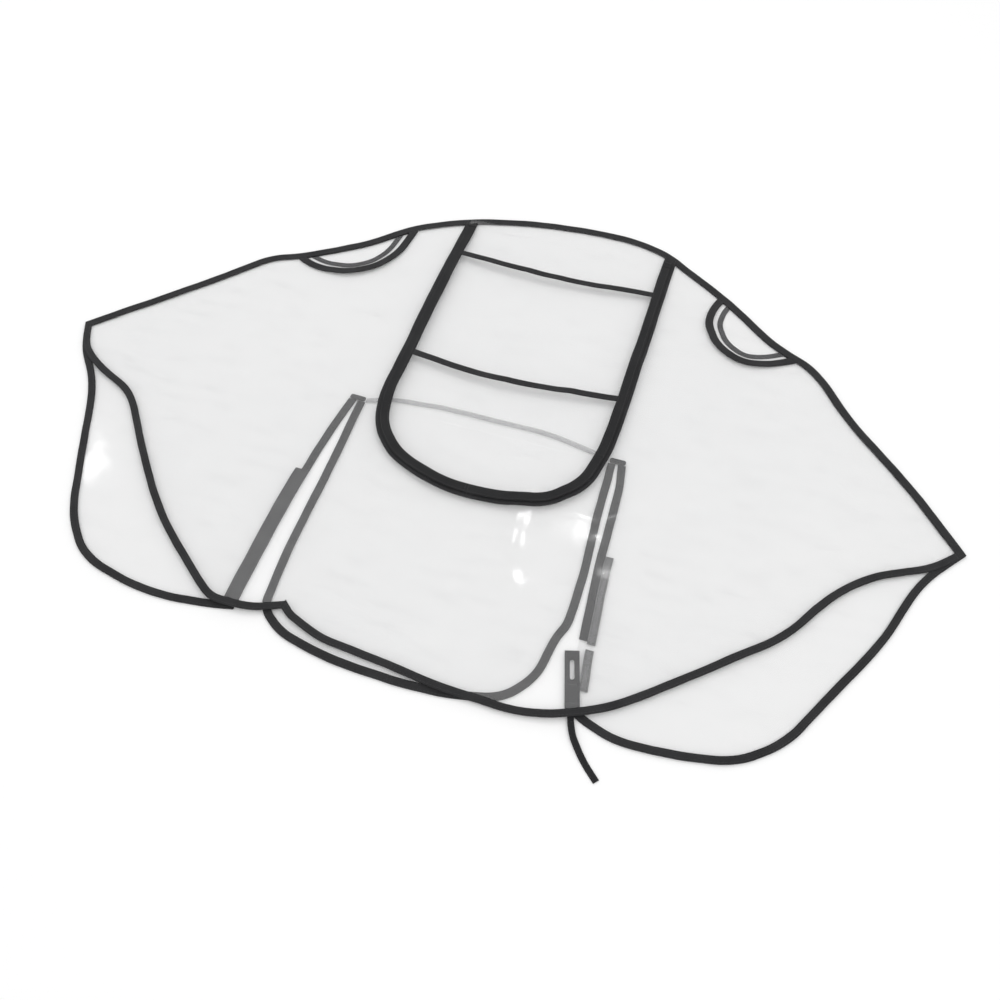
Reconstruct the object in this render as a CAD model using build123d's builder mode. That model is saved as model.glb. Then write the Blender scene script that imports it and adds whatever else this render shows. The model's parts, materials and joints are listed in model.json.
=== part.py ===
from build123d import *
from math import atan2, degrees, radians, tan
import os

# Clear film cape, lying flat with its front side up.  Millimetres, +Z up, +Y towards the shoulder
# seam.  The origin is on the ground, midway between the two wing tips.

# --- driving dimensions -------------------------------------------------------------------------
half_span = 484.0            # origin to either wing tip
seam_rise = 338.0            # origin to the crown of the shoulder seam
hem_drop = 299.0             # origin to the lowest point of the front hem
film = 0.5                   # clear film
tape_ply = 0.7               # one ply of the folded binding tape
layer_gap = 6.0              # air between the back tape and the front tape
bib_gap = 0.5                # air between the front tape and the bib's tape
hinge_gap = 0.5              # between a flap and what it swings against
seam_tape_width = 8.5
hem_tape_width = 7.5
slit_tape_width = 8.0
hand_tape_width = 8.5
bib_tape_width = 10.5
bib_half_width = 125.0       # bib outline, outside its tape
neck_tape_inside = 8.0       # how far the neck opening's tape lies under the bib
neck_tape_outside = 4.0      # and how far it shows around it
cross_band_width = 7.5
facing_inset = 5.0           # from a hand opening's edge to its inner facing
facing_width = 6.0
hook_strip_width = 14.0
hook_strip_thickness = 1.2
patch_width = 8.0
weld_width = 6.0
weld_thickness = 0.4
apex_reach = 8.5             # the tape over each slit's apex, to either side
apex_height = 6.5
tie_width = 13.5
tie_thickness = 1.2
tie_slot_length = 20.0
tie_slot_width = 4.2
tail_width = 6.0
tail_root_length = 9.0
tack_length = 7.0
tack_width = 1.8
tack_height = 0.5
header_tack_rises = (3.0, 9.0)    # bar tacks above the bib's hinge line
slit_tack_drops = (12.0, 26.0)    # bar tacks below the flap's hinge line
bib_hinge_drop = 7.5         # from the seam tape at the bib's corners to the bib's hinge line
flap_hinge_y = 0.0           # the back flap swings about this line

# --- heights worked out from them ---------------------------------------------------------------
tape_stack = 2 * tape_ply + film
back_film_z = tape_ply
front_z = tape_stack + layer_gap
front_film_z = front_z + tape_ply
front_top = front_z + tape_stack
bib_z = front_top + bib_gap
bib_film_z = bib_z + tape_ply
bib_top = bib_z + tape_stack
big = 3 * half_span          # longer than the cape, for cutting planes


def wide(x):
    """Scales a place across the cape with its span."""
    return x * half_span / 484.0


def high(y):
    """Scales a place along the cape with its rise above or drop below the origin."""
    return y * seam_rise / 338.0 if y > 0 else y * hem_drop / 299.0


def fit(points):
    return [(wide(x), high(y)) for x, y in points]


def across_bib(x):
    """Scales a place across the bib with its width."""
    return x * bib_half_width / 125.0


def seam_height_at(x):
    """How far up the cape the seam's points lie at a place across it."""
    for (x_before, y_before), (x_after, y_after) in zip(seam_points, seam_points[1:]):
        if x_before <= x <= x_after:
            return y_before + (y_after - y_before) * (x - x_before) / (x_after - x_before)


# --- outlines: outer edges of the tapes ---------------------------------------------------------
left_tip = (-484, 16)
right_tip = (484, -7)
seam_points = fit([
    left_tip, (-404, 97), (-331, 179), (-296, 194), (-228, 238), (-191, 278), (-129, 312),
    (-48, 332), (20, 338), (76, 337), (117, 325), (198, 271), (262, 216), (313, 192),
    (355, 133), (426, 63), right_tip])
left_front_hem_points = fit([
    left_tip, (-470, -18), (-436, -44), (-386, -66), (-329, -144), (-276, -206), (-213, -258),
    (-192, -274), (-150, -274), (-121, -261)])
right_front_hem_points = fit([
    (-121, -261), (-113, -268), (-76, -283), (0, -290), (50, -297), (130, -299), (192, -276),
    (254, -223), (335, -152), (368, -96), (400, -64), (456, -36), right_tip])
left_wing_hem_points = fit([
    left_tip, (-470, -18), (-432, -66), (-405, -133), (-367, -225), (-328, -268), (-270, -282),
    (-232, -284), (-190, -279.5), (-148, -271.5)])
right_wing_hem_points = fit([
    right_tip, (449, -52), (424, -123), (390, -184), (352, -256), (312, -288), (252, -297),
    (207, -299), (172, -287), (150, -272)])
left_hand_points = fit([
    (-305, 205), (-291, 190), (-266, 181), (-232, 184), (-207, 202), (-193, 228), (-187, 282)])
right_hand_points = fit([
    (203, 282), (190, 252), (188, 226), (203, 197), (230, 181), (256, 186), (303, 212)])
left_slit_points = fit([(-151, flap_hinge_y), (-159, -66), (-164, -150), (-165, -290)])
right_slit_points = fit([(137, flap_hinge_y), (142, -33), (145, -128), (150, -200), (161, -290)])
flap_points = fit([
    (-149, flap_hinge_y - hinge_gap), (-147, -93), (-147, -209), (-142, -266), (-116, -287),
    (-60, -300), (0, -303), (60, -300), (104, -290), (130, -256), (135, -212), (141, -196),
    (141.5, -128), (138, -90), (134.5, flap_hinge_y - hinge_gap)])
weld_points = fit([(-146, 4), (-112, 17), (-60, 21), (60, 20), (100, 13), (132, 7)])
seam_at_bib = min(seam_height_at(-bib_half_width), seam_height_at(bib_half_width))
bib_hinge_y = seam_at_bib - seam_tape_width - bib_hinge_drop
bib_points = [(across_bib(x), y) for x, y in [
    (-125, bib_hinge_y), (-125, high(17)), (-116, high(-28)), (-84, high(-63)), (-30, high(-84)),
    (26, high(-86)), (84, high(-72)), (114, high(-40)), (125, high(17)), (125, bib_hinge_y)]]
neck_guide_points = [(-bib_half_width, high(360)), *bib_points[1:-1], (bib_half_width, high(360))]
upper_band_points = [(-bib_half_width, high(244)), (0, high(231)), (bib_half_width, high(243))]
lower_band_points = [(-bib_half_width, high(77)), (across_bib(-20), high(63)),
                     (bib_half_width, high(78))]
tie_points = fit([(149, -222), (165.6, -282)])
tail_points = fit([(166.5, -289.5), (171.5, -302), (185, -320), (202, -336)])
hook_strip_range = (high(-268), high(-104))
patch_ranges = {"upper": (high(-210), high(-113)), "lower": (high(-258), high(-216))}
hem_join_x = wide(-121)      # the front hem's tape is folded over and joined here
tape_step_y = high(-203)     # the flap's tape is joined here on the right
slit_tape_end_y = high(-207)     # the right slit's tape ends here, above the tie
header_join_x = bib_half_width + neck_tape_outside + 0.5
seam_joins = [wide(-331), -header_join_x, header_join_x, wide(355)]


# --- sketch helpers -----------------------------------------------------------------------------
def corner_radii(points):
    """The largest tangent arc at each inner corner that leaves a tenth of the shorter run."""
    radii = []
    for before, corner, after in zip(points, points[1:], points[2:]):
        run_in = Vector(*corner) - Vector(*before)
        run_out = Vector(*after) - Vector(*corner)
        half_turn = radians(run_in.get_angle(run_out)) / 2
        radii.append(0.45 * min(run_in.length, run_out.length) / tan(half_turn))
    return radii


def guide(points):
    """A path of straight runs joined by tangent arcs."""
    if len(points) == 2:
        return Line(*points)
    return FilletPolyline(*points, radius=corner_radii(points))


def edge_strip(points, width, side, mode=Mode.ADD, run_on=None):
    """The strip of the given width on one side of a path, as a face of the open sketch.

    It may run straight on past the path's start or end, to be trimmed afterwards."""
    with BuildLine() as strip:
        guide(points)
        if run_on == "start":
            start = Vector(*points[0])
            Line(start + (start - Vector(*points[1])).normalized() * 2 * hem_tape_width, start)
        if run_on == "end":
            end = Vector(*points[-1])
            Line(end, end + (end - Vector(*points[-2])).normalized() * 2 * hem_tape_width)
        offset(amount=width, side=side)
    make_face(strip.edges(), mode=mode)


def area_inside(points, mode=Mode.ADD):
    """The area between a path and the straight line that closes it."""
    with BuildLine() as border:
        guide(points)
        Line(points[-1], points[0])
    make_face(border.edges(), mode=mode)


def outline(*paths):
    """The area inside several paths that follow each other."""
    with BuildLine() as border:
        for points in paths:
            guide(points)
    make_face(border.edges())


def cut_beyond_seam(width):
    """Cuts away what lies past the shoulder seam, or under its tape to the given width."""
    with BuildLine() as border:
        guide(seam_points)
        Polyline(seam_points[-1], (big, seam_points[-1][1]), (big, big), (-big, big),
                 (-big, seam_points[0][1]), seam_points[0])
    make_face(border.edges(), mode=Mode.SUBTRACT)
    edge_strip(seam_points, width, Side.RIGHT, mode=Mode.SUBTRACT)


def keep_x(start, end):
    """Keeps only the part of the sketch between two places across the cape."""
    with Locations(((start + end) / 2, 0)):
        Rectangle(end - start, 2 * big, mode=Mode.INTERSECT)


def keep_y(start, end):
    """Keeps only the part of the sketch between two places along the cape."""
    with Locations((0, (start + end) / 2)):
        Rectangle(2 * big, end - start, mode=Mode.INTERSECT)


def folded_tape(name, points, width, side, bottom, seam_trim=None, trims=(), x_range=None,
                y_range=None, run_on=None):
    """A tape folded around the edge of a film, its fold one ply thick at the path."""
    with BuildPart() as tape:
        with BuildSketch(Plane.XY.offset(bottom)):
            edge_strip(points, width, side, run_on=run_on)
            if seam_trim:
                cut_beyond_seam(seam_trim)
            for trim in trims:
                edge_strip(*trim, mode=Mode.SUBTRACT)
            if x_range:
                keep_x(*x_range)
            if y_range:
                keep_y(*y_range)
        extrude(amount=tape_stack)
        with BuildSketch(Plane.XY.offset(bottom + tape_ply)):
            edge_strip(points, width + 1, side, run_on=run_on)
            edge_strip(points, tape_ply, side, mode=Mode.SUBTRACT, run_on=run_on)
        extrude(amount=film, mode=Mode.SUBTRACT)
    save(tape, name)


def save(piece, name):
    piece.part.label = name
    export_step(piece.part, f"parts/{name}.step")


os.makedirs("parts", exist_ok=True)

# --- films --------------------------------------------------------------------------------------
with BuildPart() as front_film:
    with BuildSketch(Plane.XY.offset(front_film_z)):
        outline(seam_points, left_front_hem_points, right_front_hem_points)
        edge_strip(left_front_hem_points, tape_ply, Side.LEFT, mode=Mode.SUBTRACT)
        edge_strip(right_front_hem_points, tape_ply, Side.LEFT, mode=Mode.SUBTRACT)
        for hand_points in (left_hand_points, right_hand_points):
            area_inside(hand_points, mode=Mode.SUBTRACT)
            edge_strip(hand_points, tape_ply, Side.RIGHT, mode=Mode.SUBTRACT)
        area_inside(neck_guide_points, mode=Mode.SUBTRACT)
        edge_strip(neck_guide_points, neck_tape_inside - tape_ply, Side.LEFT)
        cut_beyond_seam(tape_ply)
    extrude(amount=film)
save(front_film, "front_film")


def back_outline():
    """The whole back, with its seam and outer hems inset by the fold of their tapes."""
    with BuildLine() as border:
        guide(seam_points)
        guide(right_wing_hem_points)
        Line(right_wing_hem_points[-1], left_wing_hem_points[-1])
        guide(left_wing_hem_points)
    make_face(border.edges())
    edge_strip(seam_points, tape_ply, Side.RIGHT, mode=Mode.SUBTRACT)
    edge_strip(left_wing_hem_points, tape_ply, Side.LEFT, mode=Mode.SUBTRACT)
    edge_strip(right_wing_hem_points, tape_ply, Side.RIGHT, mode=Mode.SUBTRACT)


with BuildPart() as back_yoke_film:
    with BuildSketch(Plane.XY.offset(back_film_z)):
        back_outline()
        keep_y(flap_hinge_y, big)
    extrude(amount=film)
save(back_yoke_film, "back_yoke_film")

with BuildPart() as left_wing_film:
    with BuildSketch(Plane.XY.offset(back_film_z)):
        back_outline()
        edge_strip(left_slit_points, big, Side.LEFT, mode=Mode.SUBTRACT)
        edge_strip(left_slit_points, tape_ply, Side.RIGHT, mode=Mode.SUBTRACT)
        keep_y(-big, flap_hinge_y)
        keep_x(-big, left_slit_points[0][0])
    extrude(amount=film)
save(left_wing_film, "left_wing_film")

with BuildPart() as right_wing_film:
    with BuildSketch(Plane.XY.offset(back_film_z)):
        back_outline()
        edge_strip(right_slit_points, big, Side.RIGHT, mode=Mode.SUBTRACT)
        edge_strip(right_slit_points, tape_ply, Side.LEFT, mode=Mode.SUBTRACT)
        keep_y(-big, flap_hinge_y)
        keep_x(right_slit_points[0][0], big)
    extrude(amount=film)
save(right_wing_film, "right_wing_film")

with BuildPart() as back_flap_film:
    with BuildSketch(Plane.XY.offset(back_film_z)):
        area_inside(flap_points)
        edge_strip(flap_points, tape_ply, Side.LEFT, mode=Mode.SUBTRACT)
    extrude(amount=film)
save(back_flap_film, "back_flap_film")

with BuildPart() as flap_weld_strip:
    with BuildSketch(Plane.XY.offset(back_film_z + film)):
        edge_strip(weld_points, weld_width, Side.RIGHT)
        keep_y(flap_hinge_y, big)
        keep_x(flap_points[0][0] + apex_reach, flap_points[-1][0] - apex_reach)
    extrude(amount=weld_thickness)
save(flap_weld_strip, "flap_weld_strip")

with BuildPart() as bib_film:
    with BuildSketch(Plane.XY.offset(bib_film_z)):
        area_inside(bib_points)
        edge_strip(bib_points, tape_ply, Side.LEFT, mode=Mode.SUBTRACT)
    extrude(amount=film)
save(bib_film, "bib_film")

bib_film_half_width = bib_half_width - tape_ply
header_reach = high(360) - bib_hinge_y
with BuildPart() as bib_header_film:
    with BuildSketch(Plane.XY.offset(bib_film_z)):
        with Locations((0, bib_hinge_y + hinge_gap)):
            Rectangle(2 * bib_film_half_width, header_reach, align=(Align.CENTER, Align.MIN))
        cut_beyond_seam(tape_ply)
    extrude(amount=film)
save(bib_header_film, "bib_header_film")

# --- shoulder seam: one tape around both films, in five joined runs -----------------------------
seam_names = ["left_shoulder_tape", "left_neck_tape", "top_seam_tape", "right_neck_tape",
              "right_shoulder_tape"]
seam_cuts = [-half_span, *seam_joins, half_span]
for name, start, end in zip(seam_names, seam_cuts, seam_cuts[1:]):
    seam_top = bib_top if name == "top_seam_tape" else front_top
    with BuildPart() as seam_tape:
        with BuildSketch():
            edge_strip(seam_points, seam_tape_width, Side.RIGHT)
            keep_x(start, end)
        extrude(amount=seam_top)
        with BuildSketch(Plane.XY.offset(tape_ply)):
            edge_strip(seam_points, seam_tape_width + 1, Side.RIGHT)
            edge_strip(seam_points, tape_ply, Side.RIGHT, mode=Mode.SUBTRACT)
        extrude(amount=seam_top - 2 * tape_ply, mode=Mode.SUBTRACT)
    save(seam_tape, name)

# --- hems and slits -----------------------------------------------------------------------------
folded_tape("left_front_hem_tape", left_front_hem_points, hem_tape_width, Side.LEFT, front_z,
            seam_trim=seam_tape_width, x_range=(-half_span, hem_join_x), run_on="end")
folded_tape("right_front_hem_tape", right_front_hem_points, hem_tape_width, Side.LEFT, front_z,
            seam_trim=seam_tape_width, x_range=(hem_join_x, half_span), run_on="start")
folded_tape("left_wing_hem_tape", left_wing_hem_points, hem_tape_width, Side.LEFT, 0,
            seam_trim=seam_tape_width, x_range=(-half_span, left_slit_points[-1][0]))
folded_tape("right_wing_hem_tape", right_wing_hem_points, hem_tape_width, Side.RIGHT, 0,
            seam_trim=seam_tape_width, x_range=(right_slit_points[-1][0], half_span))
folded_tape("left_slit_tape", left_slit_points, slit_tape_width, Side.RIGHT, 0,
            trims=[(left_wing_hem_points, hem_tape_width, Side.LEFT),
                   (left_wing_hem_points, 5 * hem_tape_width, Side.RIGHT)],
            y_range=(-big, flap_hinge_y))
folded_tape("right_slit_tape", right_slit_points, slit_tape_width, Side.LEFT, 0,
            y_range=(slit_tape_end_y, flap_hinge_y))

apex_places = [(left_slit_points[0][0] + flap_points[0][0]) / 2,
               (right_slit_points[0][0] + flap_points[-1][0]) / 2]
with BuildPart() as slit_apex_tapes:
    with BuildSketch(Plane.XY.offset(back_film_z + film)):
        with Locations(*[(x, flap_hinge_y + apex_height / 2) for x in apex_places]):
            RectangleRounded(2 * apex_reach, apex_height, apex_height / 3)
    extrude(amount=tape_ply)
save(slit_apex_tapes, "slit_apex_tapes")

# --- openings -----------------------------------------------------------------------------------
for side_name, hand_points in (("left", left_hand_points), ("right", right_hand_points)):
    folded_tape(f"{side_name}_hand_tape", hand_points, hand_tape_width, Side.RIGHT, front_z,
                seam_trim=seam_tape_width)
    with BuildPart() as hand_facing:
        with BuildSketch():
            edge_strip(hand_points, facing_inset + facing_width, Side.LEFT)
            edge_strip(hand_points, facing_inset, Side.LEFT, mode=Mode.SUBTRACT)
            cut_beyond_seam(seam_tape_width)
        extrude(amount=tape_ply)
    save(hand_facing, f"{side_name}_hand_facing")
with BuildPart() as neck_opening_tape:
    with BuildSketch(Plane.XY.offset(front_z)):
        edge_strip(neck_guide_points, neck_tape_inside, Side.LEFT)
        edge_strip(neck_guide_points, neck_tape_outside, Side.RIGHT)
        cut_beyond_seam(tape_ply)
    extrude(amount=tape_stack)
    with BuildSketch(Plane.XY.offset(front_film_z)):
        edge_strip(neck_guide_points, neck_tape_inside - tape_ply, Side.LEFT)
        edge_strip(neck_guide_points, neck_tape_outside + 1, Side.RIGHT)
    extrude(amount=film, mode=Mode.SUBTRACT)
save(neck_opening_tape, "neck_opening_tape")

# --- bib ----------------------------------------------------------------------------------------
folded_tape("bib_tape", bib_points, bib_tape_width, Side.LEFT, bib_z)

with BuildPart() as bib_header_tapes:
    stub_spots = [(side * (bib_half_width - bib_tape_width / 2), bib_hinge_y + hinge_gap)
                  for side in (-1, 1)]
    with BuildSketch(Plane.XY.offset(bib_z)):
        with Locations(*stub_spots):
            Rectangle(bib_tape_width, header_reach, align=(Align.CENTER, Align.MIN))
        cut_beyond_seam(seam_tape_width)
    extrude(amount=tape_stack)
    with BuildSketch(Plane.XY.offset(bib_film_z)):
        Rectangle(2 * bib_film_half_width, 2 * big)
    extrude(amount=film, mode=Mode.SUBTRACT)
save(bib_header_tapes, "bib_header_tapes")

for name, points in (("upper_cross_band", upper_band_points),
                     ("lower_cross_band", lower_band_points)):
    with BuildPart() as cross_band:
        with BuildSketch(Plane.XY.offset(bib_film_z + film)):
            edge_strip(points, cross_band_width, Side.LEFT)
            edge_strip(bib_points, bib_tape_width, Side.LEFT, mode=Mode.SUBTRACT)
        extrude(amount=tape_ply)
    save(cross_band, name)

# --- back flap ----------------------------------------------------------------------------------
flap_middle_x = wide(100)
folded_tape("back_flap_tape", flap_points, slit_tape_width, Side.LEFT, 0,
            x_range=(-big, flap_middle_x))
for name, y_range in (("back_flap_corner_tape", (-big, tape_step_y)),
                      ("back_flap_side_tape", (tape_step_y, big))):
    folded_tape(name, flap_points, slit_tape_width, Side.LEFT, 0,
                x_range=(flap_middle_x, big), y_range=y_range)

# --- hook and loop ------------------------------------------------------------------------------
with BuildPart() as left_hook_strip:
    with BuildSketch(Plane.XY.offset(tape_stack)):
        edge_strip(left_slit_points, hook_strip_width, Side.RIGHT)
        keep_y(*hook_strip_range)
    extrude(amount=hook_strip_thickness)
save(left_hook_strip, "left_hook_strip")

for patch_name, patch_range in patch_ranges.items():
    with BuildPart() as loop_patch:
        with BuildSketch(Plane.XY.offset(back_film_z + film)):
            edge_strip(right_slit_points, slit_tape_width + patch_width, Side.LEFT)
            edge_strip(right_slit_points, slit_tape_width, Side.LEFT, mode=Mode.SUBTRACT)
            keep_y(*patch_range)
        extrude(amount=hook_strip_thickness)
    save(loop_patch, f"{patch_name}_loop_patch")

# --- tie ----------------------------------------------------------------------------------------
tie_z = back_film_z + film + hook_strip_thickness
tie_start = Vector(*tie_points[0])
tie_run = Vector(*tie_points[1]) - tie_start
tie_angle = degrees(atan2(tie_run.Y, tie_run.X))
tail_start = Vector(*tail_points[0])
tail_run = (Vector(*tail_points[1]) - tail_start).normalized()
with BuildPart() as tie_loop:
    with BuildSketch(Plane.XY.offset(tie_z)):
        with Locations(Location(tie_start + tie_run * 0.5, (0, 0, tie_angle))):
            Rectangle(tie_run.length, tie_width)
        with Locations(Location(tie_start + tie_run * 0.31, (0, 0, tie_angle))):
            SlotOverall(tie_slot_length, tie_slot_width, mode=Mode.SUBTRACT)
        root_middle = tail_start - tail_run * (hinge_gap + tail_root_length / 2)
        with Locations(Location(root_middle, (0, 0, degrees(atan2(tail_run.Y, tail_run.X))))):
            Rectangle(tail_root_length, tail_width)
    extrude(amount=tie_thickness)
save(tie_loop, "tie_loop")

with BuildPart() as tie_tail:
    with BuildSketch(Plane.XY.offset(tie_z)):
        edge_strip(tail_points, tail_width / 2, Side.LEFT)
        edge_strip(tail_points, tail_width / 2, Side.RIGHT)
    extrude(amount=tie_thickness)
save(tie_tail, "tie_tail")

# --- bar tacks: short dense stitches where tapes end ---------------------------------------------
tack_places = [
    (-bib_half_width + bib_tape_width / 2, bib_hinge_y + header_tack_rises[0], bib_top, 0),
    (bib_half_width - bib_tape_width / 2, bib_hinge_y + header_tack_rises[1], bib_top, 0),
    (left_slit_points[0][0] - slit_tape_width / 2, flap_hinge_y - slit_tack_drops[0], tape_stack, 0),
    (right_slit_points[1][0] + slit_tape_width / 2, flap_hinge_y - slit_tack_drops[1], tape_stack, 0),
    (tie_start.X + tie_run.X * 0.56, tie_start.Y + tie_run.Y * 0.56, tie_z + tie_thickness,
     tie_angle + 90),
    (tie_start.X + tie_run.X * 0.85, tie_start.Y + tie_run.Y * 0.85, tie_z + tie_thickness,
     tie_angle + 90)]
with BuildPart() as bar_tacks:
    for x, y, z, turn in tack_places:
        with Locations(Location((x, y, z), (0, 0, turn))):
            Box(tack_length, tack_width, tack_height, align=(Align.CENTER, Align.CENTER, Align.MIN))
save(bar_tacks, "bar_tacks")
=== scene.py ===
import bmesh
import bpy
import json
import math
import numpy as np
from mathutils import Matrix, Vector, noise
from mathutils.bvhtree import BVHTree


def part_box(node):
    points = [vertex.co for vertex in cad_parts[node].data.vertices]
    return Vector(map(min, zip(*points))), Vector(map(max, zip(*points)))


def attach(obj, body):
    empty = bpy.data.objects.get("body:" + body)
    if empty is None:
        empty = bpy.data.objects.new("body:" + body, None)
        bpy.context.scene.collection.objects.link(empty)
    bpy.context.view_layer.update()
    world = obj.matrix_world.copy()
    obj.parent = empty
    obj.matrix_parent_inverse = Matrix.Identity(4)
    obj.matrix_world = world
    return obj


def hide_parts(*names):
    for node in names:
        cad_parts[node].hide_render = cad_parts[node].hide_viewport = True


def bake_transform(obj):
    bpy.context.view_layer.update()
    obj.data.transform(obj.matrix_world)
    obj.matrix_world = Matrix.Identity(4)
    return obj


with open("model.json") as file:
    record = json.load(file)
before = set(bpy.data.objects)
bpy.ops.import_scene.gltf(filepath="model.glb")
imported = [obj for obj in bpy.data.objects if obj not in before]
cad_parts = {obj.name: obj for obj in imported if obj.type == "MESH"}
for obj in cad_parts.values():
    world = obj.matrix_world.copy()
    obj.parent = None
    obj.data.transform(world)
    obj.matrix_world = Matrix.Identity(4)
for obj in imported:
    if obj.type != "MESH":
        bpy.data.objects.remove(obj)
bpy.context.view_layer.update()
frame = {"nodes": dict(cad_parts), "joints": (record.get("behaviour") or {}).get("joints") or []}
nodes = frame["nodes"]
mm = 0.001
noise.seed_set(5)  # without it, noise_vector differs from run to run
print("frame loaded,", len(nodes), "CAD nodes")


# camera, light and floor
cameraSettings = {"place": (0.2385, -0.7233, 0.9298), "aim": (0.0347, -0.078, 0.0), "lens": 41.4}
roomSettings = {"strength": 0.965, "clearBounces": 32}
lightSettings = {"keyLight": {"energy": 1.2, "size": 0.1, "place": (-1.3, 0.68, 1.37)},
                 "glintLight": {"energy": 0.8, "size": 0.07, "place": (-0.05, 0.86, 1.4)},
                 "fillLight": {"energy": 2.5, "size": 1.2, "place": (1.1, -0.7, 1.6)}}
floorSettings = {"reach": 12.0, "colour": (0.97, 0.97, 0.97, 1), "roughness": 0.9, "specular": 0.1}


def aimAt(thing, target):
    thing.rotation_euler = (Vector(target) - thing.location).to_track_quat("-Z", "Y").to_euler()


def makeCamera():
    camera = bpy.data.objects.new("camera", bpy.data.cameras.new("camera"))
    bpy.context.collection.objects.link(camera)
    camera.location = cameraSettings["place"]
    camera.data.lens = cameraSettings["lens"]
    aimAt(camera, cameraSettings["aim"])
    bpy.context.scene.camera = camera


def makeLight(name, energy, size, place):
    light = bpy.data.objects.new(name, bpy.data.lights.new(name, "AREA"))
    bpy.context.collection.objects.link(light)
    light.data.energy = energy
    light.data.size = size
    light.location = place
    aimAt(light, (0, 0, 0))


def makeStage():
    scene = bpy.context.scene
    scene.view_settings.view_transform = "Standard"
    scene.cycles.transparent_max_bounces = roomSettings["clearBounces"]
    world = bpy.data.worlds.new("paleRoom")
    world.use_nodes = True
    background = world.node_tree.nodes["Background"]
    background.inputs["Color"].default_value = (1, 1, 1, 1)
    background.inputs["Strength"].default_value = roomSettings["strength"]
    scene.world = world
    for name, light in lightSettings.items():
        makeLight(name, light["energy"], light["size"], light["place"])
    floorMesh = bpy.data.meshes.new("floor")
    reach = floorSettings["reach"]
    floorMesh.from_pydata([(-reach, -reach, 0), (reach, -reach, 0), (reach, reach, 0), (-reach, reach, 0)],
                          [], [(0, 1, 2, 3)])
    floor = bpy.data.objects.new("floor", floorMesh)
    bpy.context.collection.objects.link(floor)
    paint = bpy.data.materials.new("floorPaint")
    paint.use_nodes = True
    shader = paint.node_tree.nodes["Principled BSDF"]
    shader.inputs["Base Color"].default_value = floorSettings["colour"]
    shader.inputs["Roughness"].default_value = floorSettings["roughness"]
    shader.inputs["Specular IOR Level"].default_value = floorSettings["specular"]
    floorMesh.materials.append(paint)


makeCamera()
makeStage()
print("stage ready")


# shader node groups
def newGroup(name, inputs, outputs):
    group = bpy.data.node_groups.new(name, "ShaderNodeTree")
    for socketName, value in inputs.items():
        socket = group.interface.new_socket(socketName, in_out="INPUT", socket_type="NodeSocketFloat")
        socket.default_value = value
    for socketName in outputs:
        group.interface.new_socket(socketName, in_out="OUTPUT", socket_type="NodeSocketFloat")
    start = group.nodes.new("NodeGroupInput")
    end = group.nodes.new("NodeGroupOutput")
    return group, start, end


def mathNode(tree, operation, first, second):
    node = tree.nodes.new("ShaderNodeMath")
    node.operation = operation
    for socket, value in zip(node.inputs, (first, second)):
        if isinstance(value, (int, float)):
            socket.default_value = value
        else:
            tree.links.new(value, socket)
    return node.outputs[0]


def noiseNode(tree, place, settings):
    node = tree.nodes.new("ShaderNodeTexNoise")
    for socketName, value in settings.items():
        node.inputs[socketName].default_value = value
    tree.links.new(place, node.inputs["Vector"])
    return node


# crossing ribs of a woven tape, with threads that stand out here and there
weaveSettings = {"distortion": 1.5, "detailScale": 2.0, "fluff": {"Scale": 420.0, "Detail": 4.0},
                 "broad": {"Scale": 38.0, "Detail": 3.0}}


def makeWeaveGroup():
    group, start, end = newGroup("ribbedWeave", {"Rib Scale": 900.0, "Fluff": 0.35}, ["Height", "Shade"])
    place = group.nodes.new("ShaderNodeTexCoord").outputs["Object"]
    ribs = []
    for direction in ("X", "Y"):
        wave = group.nodes.new("ShaderNodeTexWave")
        wave.bands_direction = direction
        wave.inputs["Distortion"].default_value = weaveSettings["distortion"]
        wave.inputs["Detail Scale"].default_value = weaveSettings["detailScale"]
        group.links.new(place, wave.inputs["Vector"])
        group.links.new(start.outputs["Rib Scale"], wave.inputs["Scale"])
        ribs.append(wave.outputs["Fac"])
    woven = mathNode(group, "MAXIMUM", ribs[0], ribs[1])
    fluff = noiseNode(group, place, weaveSettings["fluff"])
    loose = mathNode(group, "MULTIPLY", fluff.outputs["Fac"], start.outputs["Fluff"])
    group.links.new(mathNode(group, "ADD", woven, loose), end.inputs["Height"])
    broad = noiseNode(group, place, weaveSettings["broad"])
    shade = mathNode(group, "MULTIPLY", woven, broad.outputs["Fac"])
    group.links.new(mathNode(group, "ADD", shade, loose), end.inputs["Shade"])
    return group


# slow waves and faint scuffs of handled clear film
hazeSettings = {"haze": {"Detail": 5.0, "Roughness": 0.6}, "scratch": {"Scale": 1.0, "Detail": 6.0},
                "scratchStretch": (20.0, 70.0, 20.0), "scratchTurn": (0.0, 0.0, 0.7), "scratchSharpness": 6.0,
                "ripple": {"Scale": 26.0, "Detail": 2.0}}


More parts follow.
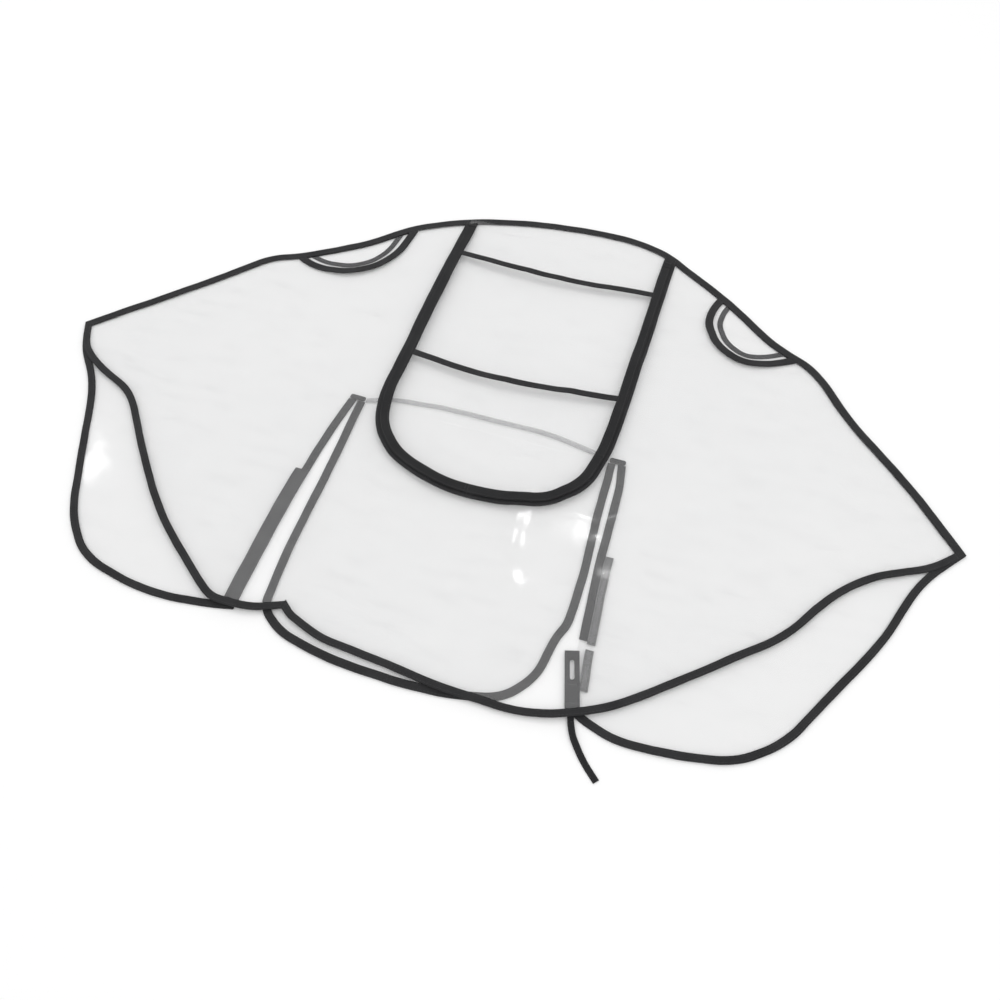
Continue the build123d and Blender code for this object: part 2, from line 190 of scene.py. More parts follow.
def makeFilmGroup():
    group, start, end = newGroup("filmHaze", {"Haze Scale": 9.0, "Scuff": 0.5}, ["Haze", "Scuffs", "Height"])
    place = group.nodes.new("ShaderNodeTexCoord").outputs["Object"]
    haze = noiseNode(group, place, hazeSettings["haze"])
    group.links.new(start.outputs["Haze Scale"], haze.inputs["Scale"])
    group.links.new(haze.outputs["Fac"], end.inputs["Haze"])
    stretch = group.nodes.new("ShaderNodeMapping")
    stretch.inputs["Scale"].default_value = hazeSettings["scratchStretch"]
    stretch.inputs["Rotation"].default_value = hazeSettings["scratchTurn"]
    group.links.new(place, stretch.inputs["Vector"])
    scratch = noiseNode(group, stretch.outputs["Vector"], hazeSettings["scratch"])
    sharp = mathNode(group, "POWER", scratch.outputs["Fac"], hazeSettings["scratchSharpness"])
    group.links.new(mathNode(group, "MULTIPLY", sharp, start.outputs["Scuff"]), end.inputs["Scuffs"])
    ripple = noiseNode(group, place, hazeSettings["ripple"])
    group.links.new(mathNode(group, "ADD", ripple.outputs["Fac"], sharp), end.inputs["Height"])
    return group


weaveGroup = makeWeaveGroup()
filmGroup = makeFilmGroup()


# materials
def newMaterial(name):
    material = bpy.data.materials.new(name)
    material.use_nodes = True
    return material, material.node_tree, material.node_tree.nodes["Principled BSDF"]


def placeGroup(tree, group, values):
    node = tree.nodes.new("ShaderNodeGroup")
    node.node_tree = group
    for socketName, value in values.items():
        node.inputs[socketName].default_value = value
    return node


def blendColours(tree, factor, low, high, reach):
    ramp = tree.nodes.new("ShaderNodeValToRGB")
    ramp.color_ramp.elements[0].position = reach[0]
    ramp.color_ramp.elements[1].position = reach[1]
    ramp.color_ramp.elements[0].color = (*low, 1)
    ramp.color_ramp.elements[1].color = (*high, 1)
    tree.links.new(factor, ramp.inputs["Fac"])
    return ramp.outputs["Color"]


def rangeNode(tree, value, low, high):
    node = tree.nodes.new("ShaderNodeMapRange")
    node.inputs["To Min"].default_value = low
    node.inputs["To Max"].default_value = high
    tree.links.new(value, node.inputs["Value"])
    return node.outputs["Result"]


def addBump(tree, height, shader, strength, distance):
    bump = tree.nodes.new("ShaderNodeBump")
    bump.inputs["Strength"].default_value = strength
    bump.inputs["Distance"].default_value = distance
    tree.links.new(height, bump.inputs["Height"])
    tree.links.new(bump.outputs["Normal"], shader.inputs["Normal"])


wovenFinish = {"shadeReach": (0.15, 0.9), "sheenRoughness": 0.4, "specular": 0.35, "bumpDepth": 0.3 * mm}


def wovenMaterial(name, settings):
    material, tree, shader = newMaterial(name)
    weave = placeGroup(tree, weaveGroup, {"Rib Scale": settings["ribScale"], "Fluff": settings["fluff"]})
    colour = blendColours(tree, weave.outputs["Shade"], settings["dark"], settings["light"],
                          wovenFinish["shadeReach"])
    tree.links.new(colour, shader.inputs["Base Color"])
    tree.links.new(rangeNode(tree, weave.outputs["Height"], settings["roughLow"], settings["roughHigh"]),
                   shader.inputs["Roughness"])
    shader.inputs["Sheen Weight"].default_value = settings["sheen"]
    shader.inputs["Sheen Roughness"].default_value = wovenFinish["sheenRoughness"]
    shader.inputs["Specular IOR Level"].default_value = wovenFinish["specular"]
    addBump(tree, weave.outputs["Height"], shader, settings["bump"], wovenFinish["bumpDepth"])
    return material


bindingSettings = {"ribScale": 620.0, "fluff": 0.3, "dark": (0.008, 0.008, 0.009),
                   "light": (0.034, 0.034, 0.036), "roughLow": 0.6, "roughHigh": 0.85, "sheen": 0.04,
                   "bump": 0.5}
bibSettings = {**bindingSettings, "dark": (0.004, 0.004, 0.005), "light": (0.02, 0.02, 0.021)}
facingSettings = {**bindingSettings, "dark": (0.03, 0.03, 0.032), "light": (0.1, 0.1, 0.104)}
webbingSettings = {"ribScale": 820.0, "fluff": 0.2, "dark": (0.005, 0.005, 0.006),
                   "light": (0.022, 0.022, 0.024), "roughLow": 0.6, "roughHigh": 0.85, "sheen": 0.03,
                   "bump": 0.6}
threadSettings = {"ribScale": 1800.0, "fluff": 0.2, "dark": (0.014, 0.014, 0.015),
                  "light": (0.06, 0.06, 0.063), "roughLow": 0.45, "roughHigh": 0.7, "sheen": 0.08,
                  "bump": 0.4}


# hooks or loops: a dense field of little knots over a woven ground
napFinish = {"ground": {"Rib Scale": 500.0, "Fluff": 0.9}, "shadeReach": (0.1, 0.7), "roughLow": 0.7,
             "roughHigh": 0.95, "bump": 0.8, "bumpDepth": 0.5 * mm}
hookSettings = {"knotScale": 1100.0, "dark": (0.012, 0.012, 0.013), "light": (0.05, 0.05, 0.053),
                "sheen": 0.1}
loopSettings = {"knotScale": 900.0, "dark": (0.11, 0.11, 0.112), "light": (0.26, 0.26, 0.265),
                "sheen": 0.3}


def napMaterial(name, settings):
    material, tree, shader = newMaterial(name)
    place = tree.nodes.new("ShaderNodeTexCoord").outputs["Object"]
    knots = tree.nodes.new("ShaderNodeTexVoronoi")
    knots.inputs["Scale"].default_value = settings["knotScale"]
    tree.links.new(place, knots.inputs["Vector"])
    weave = placeGroup(tree, weaveGroup, napFinish["ground"])
    colour = blendColours(tree, knots.outputs["Distance"], settings["light"], settings["dark"],
                          napFinish["shadeReach"])
    tree.links.new(colour, shader.inputs["Base Color"])
    tree.links.new(rangeNode(tree, weave.outputs["Shade"], napFinish["roughLow"], napFinish["roughHigh"]),
                   shader.inputs["Roughness"])
    shader.inputs["Sheen Weight"].default_value = settings["sheen"]
    relief = mathNode(tree, "SUBTRACT", weave.outputs["Height"], knots.outputs["Distance"])
    addBump(tree, relief, shader, napFinish["bump"], napFinish["bumpDepth"])
    return material


filmFinish = {"tintReach": (0.3, 0.7), "roughLow": 0.05, "roughHigh": 0.12, "ior": 1.5,
              "coatRoughness": 0.03, "bumpDepth": 2.0 * mm}


def filmMaterial(name, settings):
    material, tree, shader = newMaterial(name)
    haze = placeGroup(tree, filmGroup, {"Haze Scale": settings["hazeScale"], "Scuff": settings["scuff"]})
    tint = blendColours(tree, haze.outputs["Haze"], settings["cool"], settings["warm"],
                        filmFinish["tintReach"])
    tree.links.new(tint, shader.inputs["Base Color"])
    cloud = rangeNode(tree, haze.outputs["Haze"], settings["alphaLow"], settings["alphaHigh"])
    tree.links.new(mathNode(tree, "ADD", cloud, haze.outputs["Scuffs"]), shader.inputs["Alpha"])
    tree.links.new(rangeNode(tree, haze.outputs["Haze"], filmFinish["roughLow"], filmFinish["roughHigh"]),
                   shader.inputs["Roughness"])
    shader.inputs["IOR"].default_value = filmFinish["ior"]
    shader.inputs["Coat Weight"].default_value = settings["coat"]
    shader.inputs["Coat Roughness"].default_value = filmFinish["coatRoughness"]
    addBump(tree, haze.outputs["Height"], shader, settings["bump"], filmFinish["bumpDepth"])
    return material


frontFilmSettings = {"hazeScale": 4.0, "scuff": 0.12, "cool": (0.86, 0.865, 0.87), "warm": (0.95, 0.95, 0.95),
                     "alphaLow": 0.055, "alphaHigh": 0.07, "coat": 0.5, "bump": 0.12}
backFilmSettings = {"hazeScale": 4.0, "scuff": 0.12, "cool": (0.3, 0.305, 0.31), "warm": (0.36, 0.36, 0.36),
                    "alphaLow": 0.057, "alphaHigh": 0.067, "coat": 0.4, "bump": 0.12}
weldSettings = {"hazeScale": 60.0, "scuff": 0.5, "cool": (0.33, 0.33, 0.34), "warm": (0.42, 0.42, 0.43),
                "alphaLow": 0.2, "alphaHigh": 0.42, "coat": 0.2, "bump": 0.6}
bindingTape = wovenMaterial("bindingTape", bindingSettings)
bibTape = wovenMaterial("bibTape", bibSettings)
facingTape = wovenMaterial("facingTape", facingSettings)
tieWebbing = wovenMaterial("tieWebbing", webbingSettings)
sewingThread = wovenMaterial("sewingThread", threadSettings)
hookNap = napMaterial("hookNap", hookSettings)
loopNap = napMaterial("loopNap", loopSettings)
frontFilmClear = filmMaterial("frontFilmClear", frontFilmSettings)
backFilmClear = filmMaterial("backFilmClear", backFilmSettings)
weldedFilm = filmMaterial("weldedFilm", weldSettings)
print("materials ready")


# flat patterns, cut from the undersides of the CAD pieces
patternSettings = {"join": 0.01 * mm, "gridMerge": 0.05 * mm, "wholeCell": 1.0, "downward": -0.9,
                   "level": 0.1 * mm, "tinyArea": 1e-9}


def flatPattern(nodeNames, cell=patternSettings["wholeCell"], merge=patternSettings["join"]):
    pattern = bmesh.new()
    for nodeName in nodeNames:
        pattern.from_mesh(nodes[nodeName].data)
    bmesh.ops.remove_doubles(pattern, verts=pattern.verts, dist=patternSettings["join"])
    pattern.normal_update()
    lowest = min(v.co.z for v in pattern.verts)
    spare = [f for f in pattern.faces if f.normal.z > patternSettings["downward"]
             or f.calc_center_median().z > lowest + patternSettings["level"]]
    bmesh.ops.delete(pattern, geom=spare, context="FACES")
    bmesh.ops.reverse_faces(pattern, faces=pattern.faces)
    for vert in pattern.verts:
        vert.co.z = 0.0
    inner = [e for e in pattern.edges if len(e.link_faces) == 2]
    bmesh.ops.dissolve_edges(pattern, edges=inner, use_verts=False)
    cutGrid(pattern, cell)
    bmesh.ops.remove_doubles(pattern, verts=pattern.verts, dist=merge)
    tiny = [f for f in pattern.faces if f.calc_area() < patternSettings["tinyArea"]]
    bmesh.ops.delete(pattern, geom=tiny, context="FACES")
    for vert in pattern.verts:
        vert.co += handSewnDrift(vert.co)
    return pattern


# no hand sews along a perfect line: every piece shares the same slight drift
driftSettings = {"broadScale": 14.0, "broadReach": 0.9, "fineScale": 48.0, "fineReach": 0.45,
                 "fineShift": (3, 1, 7)}


def handSewnDrift(place):
    s = driftSettings
    broad = noise.noise_vector(place * s["broadScale"]) * s["broadReach"] * mm
    fine = noise.noise_vector(place * s["fineScale"] + Vector(s["fineShift"])) * s["fineReach"] * mm
    return Vector((broad.x + fine.x, broad.y + fine.y, 0))


def cutGrid(pattern, cell):
    for axis in (0, 1):
        places = [v.co[axis] for v in pattern.verts]
        line = math.ceil(min(places) / cell) * cell
        across = Vector((1, 0, 0)) if axis == 0 else Vector((0, 1, 0))
        while line < max(places):
            geometry = pattern.verts[:] + pattern.edges[:] + pattern.faces[:]
            bmesh.ops.bisect_plane(pattern, geom=geometry, plane_co=across * line, plane_no=across)
            line += cell


seamNames = ["left_shoulder_tape", "left_neck_tape", "top_seam_tape", "right_neck_tape",
             "right_shoulder_tape"]
frontHemNames = ["left_front_hem_tape", "right_front_hem_tape"]
handTapeNames = ["left_hand_tape", "right_hand_tape"]
facingNames = ["left_hand_facing", "right_hand_facing"]
wingTapeNames = ["left_wing_hem_tape", "right_wing_hem_tape", "left_slit_tape", "right_slit_tape"]
flapTapeNames = ["back_flap_tape", "back_flap_corner_tape", "back_flap_side_tape"]
bandNames = ["upper_cross_band", "lower_cross_band"]
patchNames = ["upper_loop_patch", "lower_loop_patch"]
closureNames = ["left_hook_strip"] + patchNames + ["tie_loop"]
bibHingeY = next(j for j in frame["joints"] if j["name"] == "bib_lift")["pos_m"][1]


# how high each layer lies
rimSettings = {"step": 4 * mm, "batch": 200, "far": 9.0}


def denseRim(nodeNames):
    dense = []
    for nodeName in nodeNames:
        pattern = flatPattern([nodeName])
        for edge in pattern.edges:
            a, b = (np.array(v.co[:2]) for v in edge.verts)
            count = max(1, int(np.linalg.norm(b - a) / rimSettings["step"]))
            dense += [a + (b - a) * i / count for i in range(count)]
        pattern.free()
    return np.array(dense)


def distanceTo(rim, x, y):
    nearest = np.full(len(x), rimSettings["far"])
    for start in range(0, len(rim), rimSettings["batch"]):
        part = rim[start:start + rimSettings["batch"]]
        gap = np.hypot(x[:, None] - part[None, :, 0], y[:, None] - part[None, :, 1])
        nearest = np.minimum(nearest, gap.min(axis=1))
    return nearest


def smoothStep(t):
    t = np.clip(t, 0, 1)
    return t * t * (3 - 2 * t)


def waves(x, y, scale, seed, stretch=(1.0, 1.0)):
    spots = zip(x * scale * stretch[0] + seed, y * scale * stretch[1] - seed)
    return np.array([noise.noise(Vector((a, b, seed))) for a, b in spots])


seamRim = denseRim(seamNames)
hemRim = denseRim(frontHemNames)
closureRim = denseRim(closureNames)
layerSettings = {"backRest": 0.95 * mm, "backRipple": 0.8 * mm, "rippleMiddle": 0.5, "rippleBroad": 0.5,
                 "rippleFine": 0.3, "rippleMost": 1.4, "seamGap": 0.45 * mm, "midGap": 4.2 * mm,
                 "hemGap": 2.1 * mm, "seamFlat": 0.004, "seamSlope": 0.075, "hemFlat": 0.005,
                 "hemSlope": 0.09, "billow": 1.2 * mm, "crease": 1.3 * mm, "creaseSharpness": 2.2,
                 "creaseAtHem": 0.35, "fine": 0.35 * mm, "foldWidth": 0.007, "foldLean": 0.012,
                 "folds": ((0.345, 0.5 * mm), (-0.24, 0.35 * mm), (0.06, 0.3 * mm)),
                 "closureRise": 1.6 * mm, "closureReach": 0.045, "closureFade": 0.75}
bibLaySettings = {"gap": 1.75 * mm, "hingeEase": 0.022, "bulge": 1.1 * mm, "bulgeFlat": 0.03,
                  "bulgeSlope": 0.09, "bulgeLeast": 0.6, "bulgeWave": 0.8}
# scale, seed and stretch of each set of waves
waveSettings = {"backBroad": (11.0, 3.7), "backFine": (31.0, 8.1, (1.0, 0.4)), "billow": (5.2, 1.3),
                "crease": (13.0, 5.9, (1.0, 0.45)), "fine": (42.0, 2.2, (0.6, 1.0)),
                "bulge": (9.0, 6.6, (1.0, 0.5))}


def backHeight(x, y):
    s = layerSettings
    broad = s["rippleBroad"] * waves(x, y, *waveSettings["backBroad"])
    fine = s["rippleFine"] * waves(x, y, *waveSettings["backFine"])
    return s["backRest"] + s["backRipple"] * np.clip(s["rippleMiddle"] + broad + fine, 0, s["rippleMost"])


def frontHeight(x, y):
    s = layerSettings
    fromSeam = smoothStep((distanceTo(seamRim, x, y) - s["seamFlat"]) / s["seamSlope"])
    fromHem = smoothStep((distanceTo(hemRim, x, y) - s["hemFlat"]) / s["hemSlope"])
    full = s["hemGap"] + (s["midGap"] - s["hemGap"]) * fromHem
    billow = s["billow"] * waves(x, y, *waveSettings["billow"]) * fromHem
    ridge = np.clip(1 - np.abs(waves(x, y, *waveSettings["crease"])) * s["creaseSharpness"], 0, 1)
    crease = s["crease"] * ridge ** 2 * (s["creaseAtHem"] + (1 - s["creaseAtHem"]) * fromHem)
    fine = s["fine"] * waves(x, y, *waveSettings["fine"])
    for place, rise in s["folds"]:
        fine = fine + rise * np.exp(-((x - place - s["foldLean"] * y) / s["foldWidth"]) ** 2)
    nearClosure = 1 - smoothStep(distanceTo(closureRim, x, y) / s["closureReach"])
    overClosure = s["closureRise"] * nearClosure * (1 - s["closureFade"] * fromHem)
    gap = s["seamGap"] + (full - s["seamGap"] + billow + crease + fine + overClosure) * fromSeam
    return backHeight(x, y) + gap


def bibHeight(x, y):
    s = bibLaySettings
    middle = 1 - smoothStep((np.abs(x) - s["bulgeFlat"]) / s["bulgeSlope"])
    swell = s["bulgeLeast"] + s["bulgeWave"] * waves(x, y, *waveSettings["bulge"])
    lift = np.where(y > bibHingeY, np.maximum(0, 1 - (y - bibHingeY) / s["hingeEase"]), 1)
    return frontHeight(x, y) + s["gap"] * lift + s["bulge"] * middle * swell * lift


def seamHeight(x, y):
    return (backHeight(x, y) + frontHeight(x, y)) / 2


print("heights ready")


# sheets and tapes laid at those heights
layingSettings = {"edgeSegments": 2, "edgeAngle": math.radians(50)}


def makeObject(name, pattern, material, smooth=True):
    mesh = bpy.data.meshes.new(name)
    pattern.to_mesh(mesh)
    pattern.free()
    piece = bpy.data.objects.new(name, mesh)
    bpy.context.collection.objects.link(piece)
    mesh.materials.append(material)
    if smooth:
        mesh.polygons.foreach_set("use_smooth", [True] * len(mesh.polygons))
    return piece


def applyModifiers(piece):
    graph = bpy.context.evaluated_depsgraph_get()
    made = bpy.data.meshes.new_from_object(piece.evaluated_get(graph))
    old = piece.data
    piece.modifiers.clear()
    piece.data = made
    made.name = piece.name
    bpy.data.meshes.remove(old)


def layPattern(pattern, height, lift=0.0):
    points = np.array([v.co[:2] for v in pattern.verts])
    levels = height(points[:, 0], points[:, 1]) + lift
    for vert, level in zip(pattern.verts, levels):
        vert.co.z = level


def roundEdges(piece, width):
    rounding = piece.modifiers.new("roundEdge", "BEVEL")
    rounding.width = width
    rounding.segments = layingSettings["edgeSegments"]
    rounding.limit_method = "ANGLE"
    rounding.angle_limit = layingSettings["edgeAngle"]


def thicken(piece, thickness, edgeRound=0.0):
    solid = piece.modifiers.new("thickness", "SOLIDIFY")
    solid.thickness = thickness
    solid.offset = 0.0
    if edgeRound:
        roundEdges(piece, edgeRound)
    applyModifiers(piece)
    piece.data.polygons.foreach_set("use_smooth", [True] * len(piece.data.polygons))


filmSettings = {"thickness": 0.3 * mm, "frontCell": 6 * mm, "backCell": 9 * mm, "bibCell": 6 * mm}


def layFilm(name, nodeNames, height, material, cell):
    pattern = flatPattern(nodeNames, cell, patternSettings["gridMerge"])
    flatArea = sum(f.calc_area() for f in pattern.faces)
    layPattern(pattern, height)
    piece = makeObject(name, pattern, material)
    thicken(piece, filmSettings["thickness"])
    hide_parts(*nodeNames)
    return piece, flatArea


tapeSettings = {"cell": 5 * mm, "edgeRound": 0.4 * mm, "single": 1.5 * mm, "seam": 1.9 * mm,
                "facing": 0.5 * mm, "facingLift": -0.55 * mm, "apexLift": 0.9 * mm, "band": 0.7 * mm,
                "bandLift": 0.4 * mm}
napSettings = {"edgeRound": 0.3 * mm, "hook": 1.1 * mm, "hookLift": 1.3 * mm, "loop": 1.1 * mm,
               "loopLift": 0.7 * mm}
weldLineSettings = {"thickness": 0.25 * mm, "lift": 0.25 * mm}


def layTape(name, nodeName, height, thickness, material, lift=0.0,
            edgeRound=tapeSettings["edgeRound"]):
    pattern = flatPattern([nodeName], tapeSettings["cell"], patternSettings["gridMerge"])
    layPattern(pattern, height, lift)
    piece = makeObject(name, pattern, material)
    thicken(piece, thickness, edgeRound)
    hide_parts(nodeName)
    return piece


backNames = ["back_yoke_film", "left_wing_film", "right_wing_film"]
backFilm, backArea = layFilm("backFilmSheet", backNames, backHeight, backFilmClear, filmSettings["backCell"])
flapFilm, flapArea = layFilm("backFlapSheet", ["back_flap_film"], backHeight, backFilmClear,
                             filmSettings["backCell"])
frontFilm, frontArea = layFilm("frontFilmSheet", ["front_film"], frontHeight, frontFilmClear,
                               filmSettings["frontCell"])
bibFilm, bibArea = layFilm("bibFilmSheet", ["bib_film"], bibHeight, frontFilmClear, filmSettings["bibCell"])
headerFilm, headerArea = layFilm("bibHeaderSheet", ["bib_header_film"], bibHeight, frontFilmClear,
                                 filmSettings["bibCell"])
print("films laid", round(frontArea, 4), round(backArea, 4), round(bibArea, 4), round(flapArea, 4),
      round(headerArea, 4))

tapes = {}
for nodeName in seamNames:
    tapes[nodeName] = layTape(nodeName + "_sewn", nodeName, seamHeight, tapeSettings["seam"], bindingTape)
for nodeName in frontHemNames + handTapeNames + ["neck_opening_tape"]:
    tapes[nodeName] = layTape(nodeName + "_sewn", nodeName, frontHeight, tapeSettings["single"],
                              bindingTape)
for nodeName in wingTapeNames + flapTapeNames:
    tapes[nodeName] = layTape(nodeName + "_sewn", nodeName, backHeight, tapeSettings["single"],
                              bindingTape)
for nodeName in facingNames:
    tapes[nodeName] = layTape(nodeName + "_sewn", nodeName, backHeight, tapeSettings["facing"],
                              facingTape, lift=tapeSettings["facingLift"])
tapes["slit_apex_tapes"] = layTape("slit_apex_sewn", "slit_apex_tapes", backHeight, tapeSettings["facing"],
                                   bindingTape, lift=tapeSettings["apexLift"])
for nodeName in ["bib_tape", "bib_header_tapes"]:
    tapes[nodeName] = layTape(nodeName + "_sewn", nodeName, bibHeight, tapeSettings["single"],
                              bibTape)
for nodeName in bandNames:
    tapes[nodeName] = layTape(nodeName + "_sewn", nodeName, bibHeight, tapeSettings["band"], bindingTape,
                              lift=tapeSettings["bandLift"])
for nodeName in patchNames:
    tapes[nodeName] = layTape(nodeName + "_nap", nodeName, backHeight, napSettings["loop"], loopNap,
                              lift=napSettings["loopLift"], edgeRound=napSettings["edgeRound"])
tapes["left_hook_strip"] = layTape("left_hook_strip_nap", "left_hook_strip", backHeight,
                                   napSettings["hook"], hookNap,
                                   lift=napSettings["hookLift"], edgeRound=napSettings["edgeRound"])
tapes["flap_weld_strip"] = layTape("flap_weld_line", "flap_weld_strip", backHeight,
                                   weldLineSettings["thickness"], weldedFilm,
                                   lift=weldLineSettings["lift"], edgeRound=0.0)


# the tie's tail sinks from the loop to the floor
tieSettings = {"tailThickness": 1.0 * mm, "tailFall": 0.8, "tailAtLoop": 1.65 * mm, "tailOnFloor": 0.65 * mm,
               "loopTop": 2.2 * mm, "loopUnderside": 1.15 * mm, "loopEdge": 0.25 * mm}
tailLow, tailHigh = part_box("tie_tail")


def tailHeight(x, y):
    s = tieSettings
    fall = smoothStep((tailHigh.y - y) / (s["tailFall"] * (tailHigh.y - tailLow.y)))
    return (backHeight(x, y) + s["tailAtLoop"]) * (1 - fall) + s["tailOnFloor"] * fall


tapes["tie_tail"] = layTape("tie_tail_webbing", "tie_tail", tailHeight, tieSettings["tailThickness"],
                            tieWebbing)
print("tapes laid")


# the tie's loop keeps its slot
def layLoop():
    pattern = bmesh.new()
    pattern.from_mesh(nodes["tie_loop"].data)
    bmesh.ops.remove_doubles(pattern, verts=pattern.verts, dist=patternSettings["join"])
    top = max(v.co.z for v in pattern.verts)
    points = np.array([v.co[:2] for v in pattern.verts])
    levels = backHeight(points[:, 0], points[:, 1])
    for vert, level in zip(pattern.verts, levels):
        onTop = vert.co.z > top - patternSettings["level"]
        vert.co.z = level + (tieSettings["loopTop"] if onTop else tieSettings["loopUnderside"])
    piece = makeObject("tie_loop_webbing", pattern, tieWebbing, smooth=False)
    roundEdges(piece, tieSettings["loopEdge"])
    applyModifiers(piece)
    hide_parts("tie_loop")
    return piece


tapes["tie_loop"] = layLoop()


# thread: rows of stitches sunk into the tapes, and the bar tacks
stitchSettings = {"length": 2.6 * mm, "pitch": 3.4 * mm, "radius": 0.17 * mm, "inset": 1.6 * mm,
                  "tailInset": 0.9 * mm, "clearShare": 0.93, "endSink": 0.3, "middleSink": -0.35}
threadShape = {"places": (-0.5, -0.17, 0.17, 0.5), "swells": (0.55, 1.0, 1.0, 0.55), "sides": 6,
               "flatness": 1.5}
castHeight = 0.1


def topOf(piece):
    return BVHTree.FromObject(piece, bpy.context.evaluated_depsgraph_get())


def topAt(tree, x, y):
    return tree.ray_cast(Vector((x, y, castHeight)), Vector((0, 0, -1)))[0]


def layThread(name, runs, piece):
    s = stitchSettings
    tree = topOf(piece)
    thread = bmesh.new()
    for start, direction in runs:
        spots = []
        for end in threadShape["places"]:
            top = topAt(tree, *(start + direction * s["length"] * end))
            if top:
                sink = s["endSink"] if abs(end) == 0.5 else s["middleSink"]
                spots.append(Vector((top.x, top.y, top.z - sink * s["radius"])))
        if len(spots) == len(threadShape["places"]):
            addStitch(thread, spots, Vector((-direction[1], direction[0], 0)), s["radius"])
    return makeObject(name, thread, sewingThread)


def addStitch(thread, spots, side, radius):
    sides = threadShape["sides"]
    rings = []
    for spot, swell in zip(spots, threadShape["swells"]):
        ring = []
        for turn in range(sides):
            angle = turn * math.tau / sides
            offset = side * math.cos(angle) * radius * swell * threadShape["flatness"]
            offset = offset + Vector((0, 0, math.sin(angle) * radius * swell))
            ring.append(thread.verts.new(spot + offset))
        rings.append(ring)
    for first, second in zip(rings, rings[1:]):
        for k in range(sides):
            after = (k + 1) % sides
            thread.faces.new((first[k], first[after], second[after], second[k]))
    thread.faces.new(rings[0][::-1])
    thread.faces.new(rings[-1])


# stitches that follow a tape's pattern, a set distance in from its long edges
def rowsInside(nodeName, inset):
    pattern = flatPattern([nodeName])
    edges = [(np.array(e.verts[0].co[:2]), np.array(e.verts[1].co[:2])) for e in pattern.edges]
    runs = []
    for face in pattern.faces:
        runs += walkLoop([np.array(v.co[:2]) for v in face.verts], inset)
    pattern.free()
    return runs, edges


def walkLoop(loop, inset):
    runs = []
    carried = stitchSettings["pitch"] / 2
    for a, b in zip(loop, loop[1:] + loop[:1]):
        span = np.linalg.norm(b - a)
        if span < 1e-6:
            continue
        direction = (b - a) / span
        inward = np.array([-direction[1], direction[0]])
        while carried < span:
            runs.append((a + direction * carried + inward * inset, direction))
            carried += stitchSettings["pitch"]
        carried -= span
    return runs


# a stitch is kept only where it stays its inset away from every edge of its tape
def keepClear(runs, edges, inset):
    starts = np.array([a for a, b in edges])
    ends = np.array([b for a, b in edges])
    along = ends - starts
    squared = np.maximum((along ** 2).sum(axis=1), 1e-12)
    kept = []
    for spot, direction in runs:
        t = np.clip(((spot - starts) * along).sum(axis=1) / squared, 0, 1)
        gaps = np.hypot(*((starts + along * t[:, None]) - spot).T)
        if gaps.min() > inset * stitchSettings["clearShare"]:
            kept.append((spot, direction))
    return kept


unsewnNames = facingNames + ["tie_loop", "flap_weld_strip", "slit_apex_tapes"]
threads = {}
for nodeName, piece in tapes.items():
    if nodeName in unsewnNames:
        continue
    inset = stitchSettings["tailInset"] if nodeName == "tie_tail" else stitchSettings["inset"]
    runs, edges = rowsInside(nodeName, inset)
    threads[nodeName] = layThread(nodeName + "_stitches", keepClear(runs, edges, inset), piece)
print("stitches sewn")


# short dense stitches over the tape ends
tackSettings = {"length": 7.0 * mm, "width": 1.8 * mm, "radius": 0.2 * mm, "stitches": 16, "lean": 0.25,
                "endRise": 0.1 * mm, "middleRise": 0.25 * mm, "endReach": 1.2}


def layTack(everything, place, turn, tree):
    s = tackSettings
    along = Vector((math.cos(turn), math.sin(turn), 0))
    across = Vector((-along.y, along.x, 0))
    for i in range(s["stitches"]):
        spot = Vector(place) + along * ((i / (s["stitches"] - 1) - 0.5) * s["length"])
        lean = across + along * (s["lean"] if i % 2 else -s["lean"])
        spots = []
        for end in threadShape["places"]:
            point = spot + lean * (end * s["width"])
            top = topAt(tree, point.x, point.y)
            if top:
                rise = s["endRise"] if abs(end) == 0.5 else s["middleRise"]
                spots.append(Vector((point.x, point.y, top.z + rise)))
        if len(spots) == len(threadShape["places"]):
            addStitch(everything, spots, along, s["radius"])


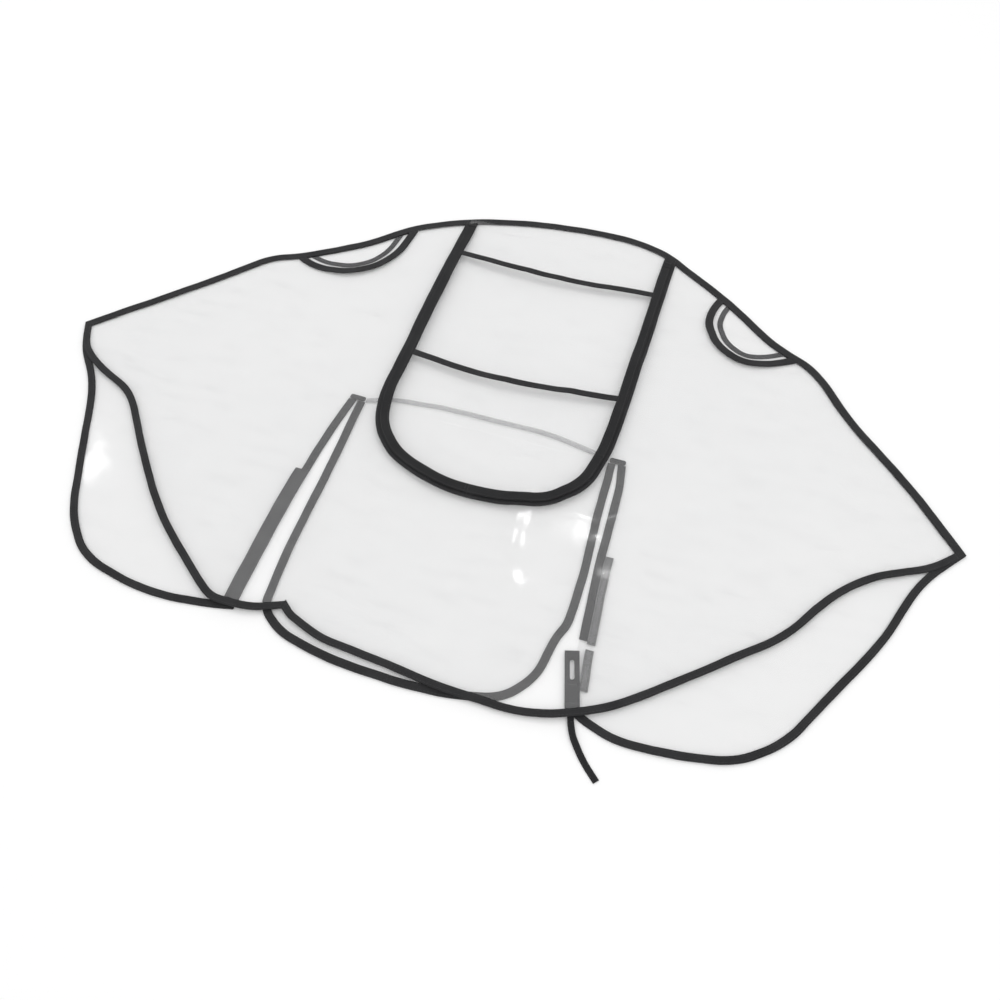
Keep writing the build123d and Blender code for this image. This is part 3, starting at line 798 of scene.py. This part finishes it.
# the points of each separate solid in a node
def solidPoints(nodeName):
    solids = bmesh.new()
    solids.from_mesh(nodes[nodeName].data)
    bmesh.ops.remove_doubles(solids, verts=solids.verts, dist=patternSettings["join"])
    solids.verts.index_update()
    groups = []
    seen = set()
    for first in solids.verts:
        if first.index in seen:
            continue
        seen.add(first.index)
        island = [first]
        for vert in island:
            for edge in vert.link_edges:
                other = edge.other_vert(vert)
                if other.index not in seen:
                    seen.add(other.index)
                    island.append(other)
        groups.append([v.co.copy() for v in island])
    solids.free()
    return groups


def layTacks():
    everything = bmesh.new()
    holders = ("bib_header_tapes", "left_slit_tape", "right_slit_tape", "tie_loop")
    trees = [topOf(tapes[n]) for n in holders]
    for points in solidPoints("bar_tacks"):
        middle = sum(points, Vector()) / len(points)
        far = max(points, key=lambda p: (p - middle).to_2d().length)
        reach = tackSettings["width"] * tackSettings["endReach"]
        near = [p for p in points if (p - far).length < reach and p != far]
        end = (far.to_2d() + near[0].to_2d()) / 2 if near else far.to_2d()
        turn = math.atan2(end.y - middle.y, end.x - middle.x)
        tree = next((t for t in trees if topAt(t, middle.x, middle.y)), None)
        if tree:
            layTack(everything, middle, turn, tree)
    piece = makeObject("bar_tack_threads", everything, sewingThread)
    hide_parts("bar_tacks")
    return piece


tacks = layTacks()
print("bar tacks sewn")


# which pieces ride the cape body; bib, flap and tie tail pieces only have their transforms baked
bibNodes = ["bib_film", "bib_tape"] + bandNames
flapNodes = ["back_flap_film"] + flapTapeNames


def moveWith(piece, nodeName):
    if nodeName in bibNodes:
        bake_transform(piece)
    elif nodeName in flapNodes:
        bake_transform(piece)
    elif nodeName == "tie_tail":
        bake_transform(piece)
    else:
        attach(piece, "cape")


for nodeName, piece in list(tapes.items()) + list(threads.items()):
    moveWith(piece, nodeName)
moveWith(backFilm, "back_yoke_film")
moveWith(flapFilm, "back_flap_film")
moveWith(frontFilm, "front_film")
moveWith(bibFilm, "bib_film")
moveWith(headerFilm, "bib_header_film")
moveWith(tacks, "bar_tacks")
print("movement set")
